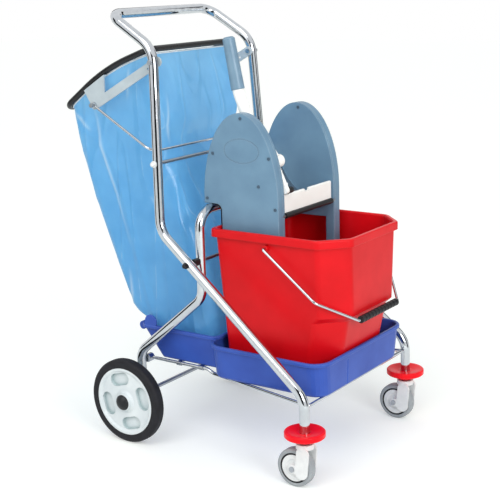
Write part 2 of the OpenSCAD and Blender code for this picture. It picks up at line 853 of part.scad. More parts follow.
// Saddle clips and their screws hold the carrier's wire under the tray
module carrier_clips() {
    clip_w = 12;
    wall = 2;
    head_r = 4;
    color(chrome) on_both() for (x = [96, 160]) difference() {
        union() {
            translate([x, carrier_y, eye_h]) rotate([0, 90, 0])
                cylinder(r = carrier_r + wall, h = clip_w, center = true);
            translate([x, carrier_y - carrier_r - 5, eye_h + carrier_r - 1])
                cube([clip_w, 12, 2 * wall], center = true);
            translate([x, carrier_y - carrier_r - 6, eye_h + carrier_r - 6]) cylinder(r = head_r, h = 5);
        }
        translate([x, carrier_y, eye_h]) rotate([0, 90, 0])
            cylinder(r = carrier_r + hole_clear, h = 2 * clip_w, center = true);
        translate([x - clip_w, carrier_y - 30, bag_bay_base_h - hole_clear]) cube([2 * clip_w, 60, 20]);
    }
}

// Bag holder: two flat arms, a strut, and a ring with its clamping profile

ring_mid = [(ring_front_x + ring_rear_x) / 2, (ring_front_h + ring_rear_h) / 2 + ring_arch];
ring_bend_r = 520;
ring_corner_r = 26;
ring_half = [
    [ring_front_x, -ring_hw, ring_front_h],
    [ring_mid.x, -ring_hw, ring_mid.y],
    [ring_rear_x, -ring_hw, ring_rear_h]
];
// The ring's side in its plane: two tangents and the bend between them
ring_front = [ring_front_x, ring_front_h];
ring_rear = [ring_rear_x, ring_rear_h];
ring_d1 = unit(ring_mid - ring_front);
ring_d2 = unit(ring_rear - ring_mid);
ring_reach = ring_bend_r * tan(acos(ring_d1 * ring_d2) / 2);
ring_t1 = ring_mid - ring_d1 * ring_reach;
ring_t2 = ring_mid + ring_d2 * ring_reach;
ring_centre = ring_t1 + [-ring_d1.y, ring_d1.x] * ring_bend_r;
function ring_z(x) =
    x > ring_t1.x ? ring_front.y + (x - ring_front.x) * ring_d1.y / ring_d1.x :
    x < ring_t2.x ? ring_rear.y + (x - ring_rear.x) * ring_d2.y / ring_d2.x :
    ring_centre.y + sqrt(ring_bend_r * ring_bend_r - (x - ring_centre.x) * (x - ring_centre.x));

// Cosine of the ring's slope at a point of its side
function ring_cos(x) =
    x > ring_t1.x ? -ring_d1.x : x < ring_t2.x ? -ring_d2.x : (ring_z(x) - ring_centre.y) / ring_bend_r;

module ring_sweep(r) {
    bent(concat(ring_half, mirrored(ring_half)), r, both_ends([ring_corner_r, ring_bend_r, ring_corner_r]),
        closed = true);
}

module bag_ring() {
    color(chrome) on_cart() ring_sweep(ring_d / 2);
}

module clamp_profile() {
    color("black") on_cart() difference() {
        ring_sweep(profile_d / 2);
        ring_sweep(ring_d / 2 + hole_clear);
    }
}

arm_front = [upright_x(arm_bolt_h), arm_bolt_h];
arm_rear = [-arm_back, arm_bolt_h - arm_drop];
tab_x0 = -arm_back - 30;
tab_x1 = -arm_back + 32;
tab_gap = profile_d / 2 / cos(30) + seat_gap;
tab_a = [tab_x0, ring_z(tab_x0) - tab_gap];
tab_b = [tab_x1, ring_z(tab_x1) - tab_gap];
tab_d = (tab_b - tab_a) / norm(tab_b - tab_a);
tab_foot = arm_rear + (arm_front - arm_rear) * (tab_x1 - arm_rear.x) / (arm_front.x - arm_rear.x);
lip_step = [0, 1.2];
lip_a = tab_a + tab_d * 3;
lip_b = tab_b - tab_d * 3;

module bag_arm() {
    r = arm_w / 2;
    difference() {
        union() {
            plate(arm_y - arm_t, arm_y) {
                slot(arm_front, arm_rear, r);
                polygon([tab_a - lip_step, arm_rear - [0.8 * r, 0.3 * r], tab_foot, tab_b - lip_step]);
            }
            plate(ring_hw, arm_y - arm_t / 2)
                polygon([lip_a, lip_a - [0, arm_t], lip_b - [0, arm_t], lip_b]);
        }
        bar_y(arm_front.x, arm_front.y, arm_bolt_d / 2 + hole_clear, 0, leg_hw);
        bar_y(arm_rear.x, arm_rear.y, arm_bolt_d / 2 + hole_clear, 0, leg_hw);
        bar_y(arm_front.x - 26, arm_front.y - 16, arm_bolt_d / 2, 0, leg_hw);
    }
}

module bag_arm_right() {
    color("gainsboro") on_right() bag_arm();
}

module bag_arm_left() {
    color("gainsboro") on_cart() bag_arm();
}

strut_r = strut_d / 2;
strut_y = arm_y + strut_r + seat_gap;
strut_eye_r = arm_bolt_d / 2 + 4;
head_t = 4;

module arm_bolts() {
    front_outer = side_hw(arm_bolt_h) + tube_r + lean_gap;
    inner = arm_y - arm_t - seat_gap;
    nut_r = arm_bolt_d * 0.85;
    color(chrome) on_both() {
        bar_y(arm_front.x, arm_front.y, arm_bolt_d / 2, inner - head_t + seat_gap, front_outer + head_t);
        bar_y(arm_front.x, arm_front.y, nut_r, inner - head_t, inner);
        bar_y(arm_front.x, arm_front.y, nut_r, front_outer, front_outer + head_t);
        bar_y(arm_rear.x, arm_rear.y, arm_bolt_d / 2, inner - head_t + seat_gap, strut_y + strut_d + head_t);
        bar_y(arm_rear.x, arm_rear.y, nut_r, inner - head_t, inner);
        bar_y(arm_rear.x, arm_rear.y, nut_r, strut_y + strut_r + seat_gap, strut_y + strut_d + head_t);
    }
}

strut_half = [
    [arm_rear.x, -strut_y, arm_rear.y],
    [upright_x(strut_h) - tube_r - strut_r - seat_gap, -side_hw(strut_h), strut_h]
];

module strut_bail() {
    path = concat(strut_half, mirrored(strut_half));
    color(chrome) on_cart() difference() {
        union() {
            bent(path, strut_r, both_ends([0, 20]));
            for (s = [-1, 1])
                bar_y(arm_rear.x, arm_rear.y, strut_eye_r, s * strut_y - strut_r, s * strut_y + strut_r);
        }
        bar_y(arm_rear.x, arm_rear.y, arm_bolt_d / 2 + hole_clear, -leg_hw, leg_hw);
    }
}

// Refuse bag: an open shell that hangs from the ring and slumps into the tray

// One level of the bag as [rear x, front x, half width, rear height, front height, corner radius]
bag_levels = [
    [tray_rear_x + 14, tray_mid_x - 22, bag_bay_hw - 26, bag_bay_base_h + tray_wall + seat_gap, undef, 30],
    [tray_rear_x + 4, tray_mid_x - 16, bag_bay_hw - 22, bag_bay_base_h + 24, undef, 36],
    [tray_rear_x - tray_back_lean + 10, tray_mid_x - 16, bag_bay_hw - 17, bag_bay_top_h - 6, undef, 44],
    [-44, rear_bar_x + 4, bag_hw - 4, bag_bay_top_h + 56, undef, 52],
    [-92, rear_bar_x - 22, bag_hw, 420, 440, 60],
    [-142, 100, bag_hw, 545, 600, 60],
    [-178, upright_x(strut_h) - 36, bag_hw, 650, 715, 56],
    [ring_rear_x + 8, ring_front_x - 4, ring_hw - 3, undef, undef, ring_corner_r]
];

function bag_height(level, x) =
    level[3] == undef ? ring_z(x) - profile_d / 2 / ring_cos(x) - seat_gap :
    level[4] == undef ? level[3] :
    level[3] + (level[4] - level[3]) * (x - level[0]) / (level[1] - level[0]);
function bag_section(level, inset) = [
    for (p = box_outline(level[0] + inset, level[1] - inset, level[2] - inset, level[5]))
        [p.x, p.y, bag_height(level, p.x)]
];

module bag() {
    top = len(bag_levels) - 1;
    floor_inner = bag_section(bag_levels[0], bag_wall);
    color("deepskyblue") on_cart() skin(concat(
        [for (level = bag_levels) bag_section(level, 0)],
        [for (i = [top : -1 : 1]) bag_section(bag_levels[i], bag_wall)],
        [[for (p = floor_inner) p + [0, 0, bag_wall]]]));
}

// Bucket with cut front corners, a rolled rim and a ledge over the hanging grip

function bucket_outline(rear, front, hw, cut, r) = rounded([
    [rear, -hw, 14], [front - cut, -hw, r], [front, cut - hw, r],
    [front, hw - cut, r], [front - cut, hw, r], [rear, hw, 14]]);

// One level of the body at a height above the bucket's floor
function bucket_level(h, front_in, inset) =
    let (share = 1 - h / bucket_h, in = bucket_rim + bucket_draft * share + inset)
    at_height(bucket_outline(bucket_rear_x + in, bucket_rear_x + bucket_l - bucket_rim - front_in - inset,
        bucket_hw - in, bucket_cut - 0.4 * inset, 22), bucket_base_h + h);
function rim_level(h, out) =
    at_height(bucket_outline(bucket_rear_x + bucket_rim - out, bucket_rear_x + bucket_l - bucket_rim + out,
        bucket_hw - bucket_rim + out, bucket_cut + 0.4 * out, 22), bucket_base_h + h);

module bucket() {
    w = bucket_wall;
    recess = ledge_depth;
    foot = recess + front_lean;
    rim_base = bucket_h - bucket_rim_h;
    color("red") on_cart() skin([
        bucket_level(0, foot + 4, 4),
        bucket_level(5, foot, 0),
        bucket_level(ledge_h - 12, recess, 0),
        bucket_level(ledge_h, 1, 0),
        bucket_level(rim_base, 0, 0),
        rim_level(rim_base + 1, bucket_rim),
        rim_level(bucket_h - 3, bucket_rim),
        rim_level(bucket_h - 1, bucket_rim - 1),
        rim_level(bucket_h, bucket_rim - 3),
        rim_level(bucket_h, -w + 2),
        bucket_level(bucket_h - 3, 0, w),
        bucket_level(ledge_h + 2, 1, w),
        bucket_level(ledge_h - 10, recess, w),
        bucket_level(w + 4, foot, w),
        bucket_level(w, foot + 3, w + 3)
    ]);
}

bail_pin_y = bucket_hw - bucket_rim - bucket_draft * bail_drop / bucket_h + seat_gap;
ear_r = 7;

module bail_ears() {
    lean = ear_r * bucket_draft / bucket_h;
    color("red") on_both() difference() {
        bar_y(bail_x, bail_h, ear_r, bail_pin_y + lean, bail_pin_y + lean + bail_ear_t);
        bar_y(bail_x, bail_h, bail_r + run_clear, bail_pin_y, bucket_hw + bucket_rim);
    }
}

// Point of the bail at a distance from its pivot and from the middle
function bail_at(l, y) = [bail_x + l * cos(bail_slope), y, bail_h - l * sin(bail_slope)];
bail_corner_y = grip_l / 2 + 8;
bail_half = [
    [bail_x, -bail_pin_y - 2, bail_h],
    bail_at(0, -bail_hw),
    bail_at(bail_l * 0.68, -bail_hw),
    bail_at(bail_l, -bail_corner_y)
];

module bail() {
    color(chrome) on_cart()
        bent(concat(bail_half, mirrored(bail_half)), bail_r, both_ends([0, bail_r + 1, 18, 8]));
}

module bail_grip() {
    ribs = 11;
    rib = grip_l / (2 * ribs + 1);
    bore = bail_r + hole_clear;
    at = bail_at(bail_l, 0);
    color("black") on_cart() spun_y(at.x, -grip_l / 2, at.z) {
        translate([bore, 0]) square([grip_d / 2 - 1 - bore, grip_l]);
        for (i = [0 : ribs]) translate([bore, 2 * i * rib]) square([grip_d / 2 - bore, rib]);
    }
}

// Mop press: two cheeks with covers, a perforated trough, and a rocker with the jaw and its lever

cheek_bottom = bucket_top_h - cheek_sink;
cheek_under = rear_bar_h + tube_r + seat_gap;
cheek_heel_x = cheek_x - 51;
cheek_leg_w = 22;
heel_fillet = 15;

// Outline of a cheek, drawn in by an inset
module cheek_outline(inset) {
    arch = [for (a = [0 : 4 : 180])
        [cheek_x + (cheek_a - inset) * cos(a), spring_h + (cheek_b - inset) * sin(a)]];
    heel = [for (a = [90 : -15 : 0])
        [cheek_heel_x + inset - heel_fillet * (1 - cos(a)),
            cheek_under + inset - heel_fillet * (1 - sin(a))]];
    front = cheek_x + cheek_a - inset;
    polygon(concat(arch, [[cheek_x - cheek_a + inset, cheek_under + inset]], heel, [
        [cheek_heel_x + inset, cheek_bottom + inset],
        [cheek_x + cheek_a - cheek_leg_w + inset, cheek_bottom + inset],
        [cheek_x + cheek_a - cheek_leg_w + inset, cheek_bottom - cheek_leg + inset],
        [front, cheek_bottom - cheek_leg + inset]
    ]));
}

jaw_rod_at = [cheek_x + cheek_a - 4, pivot_h - 116];
pivot_hole = pivot_d / 2 + hole_clear;

// Side plate of one cheek; only the right one carries the lever's pivot
module press_side(pivoted) {
    plate(side_y, side_y + side_t) difference() {
        cheek_outline(0);
        if (pivoted) translate([pivot_x, pivot_h]) circle(r = pivot_hole);
        translate(jaw_rod_at) circle(r = rod_r + hole_clear);
    }
}

module press_cover() {
    oval_a = 46;
    oval_b = 27;
    oval_line = 1.5;
    difference() {
        plate(side_y + side_t + hole_clear, press_hw) cheek_outline(0);
        plate(side_y, press_hw - cover_wall) cheek_outline(cover_wall);
        translate([0, press_hw - oval_line / 2, 0]) plate(0, oval_line)
            translate([cheek_x + 5, spring_h + 112]) difference() {
                scale([oval_a, oval_b]) circle(r = 1);
                scale([oval_a - oval_line, oval_b - oval_line]) circle(r = 1);
            }
    }
}

module press_side_right() {
    color("slategray") on_right() press_side(true);
}

module press_side_left() {
    color("slategray") on_cart() press_side(false);
}

module press_cover_right() {
    color("lightslategray") on_right() press_cover();
}

module press_cover_left() {
    color("lightslategray") on_cart() press_cover();
}

// Screw heads on the outer faces of the covers
screw_spots = [
    [cheek_x + 5, spring_h + cheek_b - 11],
    [cheek_x + 76, spring_h + 100],
    [cheek_x + 48, spring_h + 38],
    [cheek_x + cheek_a - 8, spring_h - 9],
    [cheek_x - 71, spring_h + 103],
    [cheek_x - cheek_a + 8, spring_h + 2]
];

module cover_screws() {
    head_r = 3.5;
    head_t = 1.5;
    color(black) on_both() for (p = screw_spots)
        bar_y(p.x, p.y, head_r, press_hw + hole_clear, press_hw + head_t);
    color(black) on_both()
        bar_y(screw_spots[0].x, screw_spots[0].y, head_r, side_y - head_t, side_y - hole_clear);
}

// Rubber pads against the heels of the cheeks, beside the rear cross bar
module heel_pads() {
    foot = bucket_top_h + 2;
    middle = [cheek_heel_x - heel_fillet, cheek_under - heel_fillet];
    outer = heel_fillet - seat_gap;
    inner = heel_fillet - pad_t;
    color(black) on_both() plate(press_hw - cheek_t / 2, press_hw - 1) polygon(concat(
        [for (a = [90 : -15 : 0]) middle + outer * [cos(a), sin(a)]],
        [[middle.x + outer, foot], [middle.x + inner, foot]],
        [for (a = [0 : 15 : 90]) middle + inner * [cos(a), sin(a)]]
    ));
}

// Headed pin that carries the lever on the right side plate
module pivot_pin() {
    head_r = pivot_d * 0.9;
    inner = lever_y - lever_hub_w / 2 - seat_gap;
    outer = side_y + side_t + seat_gap;
    color(chrome) on_right() {
        bar_y(pivot_x, pivot_h, pivot_d / 2, inner, outer + head_t);
        bar_y(pivot_x, pivot_h, head_r, inner - head_t, inner);
        bar_y(pivot_x, pivot_h, head_r, outer, outer + head_t);
    }
}

module jaw_rod() {
    reach = side_y + side_t - seat_gap;
    color(chrome) on_cart() bar_y(jaw_rod_at.x, jaw_rod_at.y, rod_r, -reach, reach);
}

// Trough angles from straight down, positive to the front
trough_front_a = 6;
trough_rear_a = -62;
trough_back_l = 66;

module trough_outline() {
    outer = trough_r + trough_t;
    arc = [for (a = [trough_front_a : -4 : trough_rear_a]) [sin(a), -cos(a)]];
    last = arc[len(arc) - 1];
    up = [last.y, -last.x] * trough_back_l;
    polygon(concat(
        [for (p = arc) p * outer], [last * outer + up], [last * trough_r + up],
        [for (i = [len(arc) - 1 : -1 : 0]) arc[i] * trough_r]));
}

module press_trough() {
    reach = side_y - hole_clear;
    pitch = 2 * jaw_hw / holes_across;
    row = (trough_front_a - trough_rear_a) / (hole_rows + 1);
    color("silver") on_cart() difference() {
        translate([pivot_x, 0, pivot_h]) plate(-reach, reach) trough_outline();
        for (i = [1 : hole_rows]) for (j = [0 : holes_across - 1])
            translate([pivot_x, (j + 0.5) * pitch - jaw_hw, pivot_h])
                rotate([0, 180 - trough_front_a + i * row, 0])
                    translate([0, 0, trough_r - 10]) cylinder(d = hole_d, h = 20);
    }
}

// The jaw plate stands on a hinge barrel, with a lug that the lever's roller pushes back
lever_hub_w = lever_d + 1;
roller_at = [29, -61];
roller_r = 7;
pin_r = 3.5;
roller_y0 = lever_y - 12;
roller_y1 = lever_y + 2;

module jaw_plate() {
    notch_r = 9;
    lug_front = pivot_x + roller_at.x - roller_r - 1 - jaw_rod_at.x;
    lug_top = pivot_h + roller_at.y + 2 * roller_r - jaw_rod_at.y;
    color("white") on_cart() translate([jaw_rod_at.x, 0, jaw_rod_at.y]) difference() {
        union() {
            plate(-jaw_hw, jaw_hw) polygon([
                [-jaw_t, 0], [0, 0], [0, jaw_h - 2], [-2, jaw_h], [-jaw_t, jaw_h]]);
            plate(-roller_y1, -roller_y0) polygon([
                [lug_front - jaw_t, jaw_h - 8], [-jaw_t, jaw_h - 20], [lug_front, jaw_h - 12],
                [lug_front, lug_top], [lug_front - jaw_t, lug_top]]);
        }
        bar_y(0, 0, barrel_d / 2 + hole_clear, -side_y, side_y);
        bar_y(-jaw_t / 2, jaw_h + 3, notch_r, -14, 4);
    }
}

module jaw_barrel() {
    color("black") on_cart() difference() {
        bar_y(jaw_rod_at.x, jaw_rod_at.y, barrel_d / 2, -jaw_hw, jaw_hw);
        bar_y(jaw_rod_at.x, jaw_rod_at.y, rod_r + run_clear, -side_y, side_y);
    }
}

// Lever: a tube that leaves the hub to the rear and turns up to its grip
lever_r = lever_d / 2;
lever_knee = [0.627, 0.351];
lever_neck = [0.814, 0.582];
lever_path = [
    [pivot_x, -lever_y, pivot_h],
    [pivot_x - lever_knee[0] * lever_back, -lever_y, pivot_h + lever_knee[1] * lever_rise],
    [pivot_x - lever_neck[0] * lever_back, -lever_y, pivot_h + lever_neck[1] * lever_rise],
    [pivot_x - lever_back, -lever_y, pivot_h + lever_rise]
];

module lever_arm() {
    color("white") on_cart() difference() {
        bent(lever_path, lever_r, [0, 70, 90, 0]);
        bar_y(pivot_x, pivot_h, lever_hub_d / 2 + hole_clear, -press_hw, 0);
    }
}

// Hub with a short arm down to the roller's pin
module lever_hub() {
    roller_x = pivot_x + roller_at.x;
    roller_z = pivot_h + roller_at.y;
    color("white") on_right() difference() {
        union() {
            bar_y(pivot_x, pivot_h, lever_hub_d / 2, lever_y - lever_hub_w / 2, lever_y + lever_hub_w / 2);
            plate(roller_y1 + seat_gap, lever_y + lever_hub_w / 2)
                slot([pivot_x, pivot_h], [roller_x, roller_z], roller_r - 1);
            bar_y(roller_x, roller_z, pin_r, roller_y0, lever_y + lever_hub_w / 3);
        }
        bar_y(pivot_x, pivot_h, pivot_d / 2 + run_clear, 0, press_hw);
    }
}

module lever_roller() {
    color("black") on_right() difference() {
        bar_y(pivot_x + roller_at.x, pivot_h + roller_at.y, roller_r, roller_y0, roller_y1);
        bar_y(pivot_x + roller_at.x, pivot_h + roller_at.y, pin_r + hole_clear, 0, press_hw);
    }
}

module lever_grip() {
    cap = 14;
    top = lever_path[3];
    d = unit(top - lever_path[2]);
    base = top - d * (lever_grip_l - cap);
    wall_top = lever_grip_d / 2;
    wall_base = lever_r + 2.5;
    bore = lever_r + hole_clear;
    bore_l = lever_grip_l - cap + hole_clear;
    color("gray") on_cart() multmatrix(placed(base, across(d), d)) rotate_extrude() polygon([
        [bore, 0], [wall_base - 1, 0], [wall_base, 1], [wall_top, lever_grip_l - 4],
        [wall_top - 4, lever_grip_l], [0, lever_grip_l], [0, bore_l], [bore, bore_l]]);
}

main_frame();
rear_frame();
crossing_rod();
crossing_spacers();
crossing_caps();
tie_rod();
tie_rod_nuts();
rear_axle();
axle_spacers();
axle_caps();
leg_plugs();
rear_rim_right();
rear_tyre_right();
rear_rim_left();
rear_tyre_left();
bumper_right();
bumper_left();
caster_socket_right();
caster_socket_left();
caster_fork_right();
caster_axle_right();
caster_hub_right();
caster_ring_right();
caster_tyre_right();
caster_fork_left();
caster_axle_left();
caster_hub_left();
caster_ring_left();
caster_tyre_left();
tray();
tray_carrier();
carrier_clips();
bag_arm_right();
bag_arm_left();
arm_bolts();
strut_bail();
bag_ring();
clamp_profile();
bag();
bucket();
bail_ears();
bail();
bail_grip();
press_side_right();
press_side_left();
press_cover_right();
press_cover_left();
cover_screws();
heel_pads();
press_trough();
jaw_rod();
jaw_plate();
jaw_barrel();
pivot_pin();
lever_hub();
lever_roller();
lever_arm();
lever_grip();
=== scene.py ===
# Camera. The cart is seen from its right front corner, a little above the bucket,
# with a long lens. The lens was fitted to the photograph's 500 x 500 frame.
import math

import bpy
from mathutils import Matrix, Vector, noise


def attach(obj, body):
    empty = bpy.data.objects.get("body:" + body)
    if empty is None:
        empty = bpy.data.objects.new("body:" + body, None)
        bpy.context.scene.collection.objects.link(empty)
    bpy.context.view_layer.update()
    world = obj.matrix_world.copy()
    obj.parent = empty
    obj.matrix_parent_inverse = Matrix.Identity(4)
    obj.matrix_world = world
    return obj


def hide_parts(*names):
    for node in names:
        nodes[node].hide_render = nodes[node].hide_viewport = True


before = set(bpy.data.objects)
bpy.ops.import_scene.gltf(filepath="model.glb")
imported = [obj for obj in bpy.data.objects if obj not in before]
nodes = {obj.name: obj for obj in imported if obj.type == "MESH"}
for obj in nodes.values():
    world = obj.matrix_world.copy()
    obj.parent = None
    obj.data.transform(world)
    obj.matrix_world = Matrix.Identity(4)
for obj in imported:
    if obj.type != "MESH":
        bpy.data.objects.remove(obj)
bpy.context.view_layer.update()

AXLE_X = -0.16885  # the rear axle, behind the middle of the cart
EYE_AT = (1.6979 + AXLE_X, -2.1232, 1.0571)
PHOTO_PX, FOCAL_PX, SENSOR_MM = 500, 1151.43, 36
turn, tilt, roll = math.radians(35.19), math.radians(13.47), math.radians(-1.6)
right = Vector((math.cos(turn), math.sin(turn), 0))
ahead = Vector((
    -math.sin(turn) * math.cos(tilt), math.cos(turn) * math.cos(tilt), -math.sin(tilt)))
up = right.cross(ahead)
stance = Matrix((right, up, -ahead)).transposed() @ Matrix.Rotation(roll, 3, "Z")
eye = bpy.data.objects.new("camera", bpy.data.cameras.new("camera"))
bpy.context.scene.collection.objects.link(eye)
eye.matrix_world = Matrix.Translation(EYE_AT) @ stance.to_4x4()
eye.data.sensor_width = SENSOR_MM
eye.data.lens = FOCAL_PX / PHOTO_PX * SENSOR_MM
bpy.context.scene.camera = eye
bpy.context.scene.view_settings.view_transform = "Standard"


# Studio. A white paper floor under a wide soft sun from the front left, so that the shadow falls
# to the right and behind, with a weak lamp on the camera's left and a stronger one on its right.
# Black flags, which only mirrors see, give the chrome its dark edges.
def linear(code):
    """The linear colour of an sRGB hex code."""
    parts = [int(code[i : i + 2], 16) / 255 for i in (1, 3, 5)]
    return (*[c / 12.92 if c <= 0.04045 else ((c + 0.055) / 1.055) ** 2.4 for c in parts], 1)


def add(tree, kind, values):
    """Adds a node; each value is a setting, an input's value or a socket to link to it."""
    node = tree.nodes.new(kind)
    for key, value in values.items():
        socket = node.inputs[key] if isinstance(key, int) else node.inputs.get(key)
        if socket is None:
            setattr(node, key, value)
        elif isinstance(value, bpy.types.NodeSocket):
            tree.links.new(value, socket)
        else:
            socket.default_value = value
    return node


def blank(name):
    """A new material without nodes, and its tree."""
    made = bpy.data.materials.new(name)
    made.use_nodes = True
    made.node_tree.nodes.clear()
    return made, made.node_tree


def shown(tree):
    """One where the eye, a mirror or a clear film looks, zero for light that only bounces."""
    path = add(tree, "ShaderNodeLightPath", {})
    first = add(tree, "ShaderNodeMath", {
        "operation": "MAXIMUM", 0: path.outputs["Is Camera Ray"], 1: path.outputs["Is Glossy Ray"]})
    second = add(tree, "ShaderNodeMath", {
        "operation": "MAXIMUM", 0: first.outputs[0], 1: path.outputs["Is Transmission Ray"]})
    return second.outputs[0]


def mesh_piece(name, points, faces, smooth=True):
    """A linked object with a mesh of these points and faces."""
    mesh = bpy.data.meshes.new(name)
    mesh.from_pydata([tuple(p) for p in points], [], faces)
    mesh.polygons.foreach_set("use_smooth", [smooth] * len(mesh.polygons))
    made = bpy.data.objects.new(name, mesh)
    bpy.context.scene.collection.objects.link(made)
    return made


AMBIENT, FLOOR_GLOW = 0.70, 0.28
FLOOR_HALF = 14.0
LAMP_AIM = Vector((0, 0, 0.45))
FLAG_FAR, FLAG_TALL = 2.6, 2.2

world = bpy.data.worlds.new("studio")
bpy.context.scene.world = world
world.use_nodes = True
air = world.node_tree
air.nodes.clear()
ambient = add(air, "ShaderNodeBackground", {"Color": linear("#F6F8F7"), "Strength": AMBIENT})
paper = add(air, "ShaderNodeBackground", {"Color": (1, 1, 1, 1), "Strength": 1.0})
seen = add(air, "ShaderNodeMixShader", {0: shown(air), 1: ambient.outputs[0], 2: paper.outputs[0]})
add(air, "ShaderNodeOutputWorld", {"Surface": seen.outputs[0]})

corners = [(-FLOOR_HALF, -FLOOR_HALF, 0), (FLOOR_HALF, -FLOOR_HALF, 0),
           (FLOOR_HALF, FLOOR_HALF, 0), (-FLOOR_HALF, FLOOR_HALF, 0)]
floor = mesh_piece("floor", corners, [(0, 1, 2, 3)], smooth=False)
white_paper, tree = blank("white_paper")  # matt, and lit a little so that it burns out to white
matt = add(tree, "ShaderNodeBsdfDiffuse", {"Color": linear("#EAEDEA")})
faint = add(tree, "ShaderNodeMath", {"operation": "MULTIPLY", 0: shown(tree), 1: FLOOR_GLOW})
glow = add(tree, "ShaderNodeEmission", {"Color": (1, 1, 1, 1), "Strength": faint.outputs[0]})
lift = add(tree, "ShaderNodeAddShader", {0: matt.outputs[0], 1: glow.outputs[0]})
add(tree, "ShaderNodeOutputMaterial", {"Surface": lift.outputs[0]})
floor.data.materials.append(white_paper)

for name, kind, place, size, power in (
    ("key_lamp", "AREA", (-0.6, -3.2, 2.4), 1.6, 8),
    ("fill_lamp", "AREA", (2.9, -1.5, 1.55), 1.3, 42),
    ("top_lamp", "SUN", (0.5, -2.9, 3.8), 0.7, 0.92),
):
    lamp = bpy.data.objects.new(name, bpy.data.lights.new(name, kind))
    bpy.context.scene.collection.objects.link(lamp)
    if kind == "SUN":
        lamp.data.angle = size
    else:
        lamp.data.shape = "SQUARE"
        lamp.data.size = size
    lamp.data.energy = power
    lamp.location = place
    lamp.rotation_mode = "QUATERNION"
    lamp.rotation_quaternion = (LAMP_AIM - lamp.location).to_track_quat("-Z", "Y")

flag_cloth, tree = blank("black_flag_cloth")  # a dark, dull edge in the chrome
felt = add(tree, "ShaderNodeBsdfDiffuse", {"Color": linear("#26282C")})
add(tree, "ShaderNodeOutputMaterial", {"Surface": felt.outputs[0]})
for name, bearing, wide in (
    ("flag_near", 30, 1.6),
    ("flag_left", -58, 1.1),
    ("flag_right", 108, 1.1),
    ("flag_back", 160, 1.0),
    ("flag_rear", -130, 1.0),
):
    face = math.radians(bearing)
    middle = Vector((math.sin(face), -math.cos(face), 0)) * FLAG_FAR
    across = Vector((math.cos(face), math.sin(face), 0)) * wide / 2
    rise = Vector((0, 0, FLAG_TALL))
    corners = [middle - across, middle + across, middle + across + rise, middle - across + rise]
    flag = mesh_piece(name, corners, [(0, 1, 2, 3)], smooth=False)
    flag.data.materials.append(flag_cloth)
    flag.visible_camera = flag.visible_diffuse = False
    flag.visible_shadow = flag.visible_transmission = False


# Frame tubes. Bent 22 mm steel tube with bright chrome plate, and the plated wires of the tray's
# carrier, the strut, the bag ring and the bucket's bail. Polished plate mirrors the room,
# with a slight waviness and a faint haze.
def dress(made, *names):
    """Gives these nodes of the frame one material."""
    for name in names:
        nodes[name].data.materials.clear()
        nodes[name].data.materials.append(made)


def coat(tree, values):
    """Ends a tree with a surface of these values."""
    shader = add(tree, "ShaderNodeBsdfPrincipled", values)
    add(tree, "ShaderNodeOutputMaterial", {"Surface": shader.outputs[0]})


def here(tree):
    """The place on the piece, in metres."""
    return add(tree, "ShaderNodeTexCoord", {}).outputs["Object"]


def speckle(tree, size, detail):
    """Noise with patches of about this size in metres."""
    return add(tree, "ShaderNodeTexNoise", {
        "Vector": here(tree), "Scale": 1 / size, "Detail": detail}).outputs[0]


def remap(tree, value, span=(0.0, 1.0), to=(0.0, 1.0)):
    """Carries a value from one span to another and keeps it inside."""
    return add(tree, "ShaderNodeMapRange", {
        "Value": value, 1: span[0], 2: span[1], 3: to[0], 4: to[1]}).outputs[0]


def blend(tree, share, one, other):
    """Mixes two colours, each a hex code or a socket."""
    one, other = (linear(c) if isinstance(c, str) else c for c in (one, other))
    return add(tree, "ShaderNodeMix", {
        "data_type": "RGBA", 0: share, 6: one, 7: other}).outputs[2]


def relief(tree, height, strength, depth, over=None):
    """A bump of this depth in metres, over another normal if one is given."""
    values = {"Height": height, "Strength": strength, "Distance": depth}
    if over is not None:
        values["Normal"] = over
    return add(tree, "ShaderNodeBump", values).outputs[0]


chrome, tree = blank("chrome_plate")
ripple = speckle(tree, size=0.045, detail=1.0)
haze = speckle(tree, size=0.012, detail=4.0)
gloss = remap(tree, haze, span=(0.35, 0.75), to=(0.05, 0.13))
tone = blend(tree, haze, "#D2D6DA", "#B6BBC1")
wave = relief(tree, ripple, strength=0.25, depth=0.002)
coat(tree, {"Base Color": tone, "Metallic": 1.0, "Roughness": gloss, "Normal": wave})
dress(chrome, "main_frame", "rear_frame", "tray_carrier", "strut_bail", "bag_ring", "bail")

# Rods and bolts. The crossing rod, tie rod, axles, clips, bolts and pins are zinc-plated steel,
# duller than the tubes, with the faint bluish bloom of the zinc bath.
zinc, tree = blank("zinc_plated_steel")
bloom = speckle(tree, size=0.006, detail=5.0)
tone = blend(tree, bloom, "#B9BDC2", "#9BA1A8")
gloss = remap(tree, bloom, to=(0.22, 0.42))
pits = relief(tree, bloom, strength=0.15, depth=0.0006)
coat(tree, {"Base Color": tone, "Metallic": 1.0, "Roughness": gloss, "Normal": pits})
dress(zinc, "crossing_rod", "tie_rod", "rear_axle", "axle_spacers", "caster_axle_right",
      "caster_axle_left", "carrier_clips", "arm_bolts", "jaw_rod", "pivot_pin")

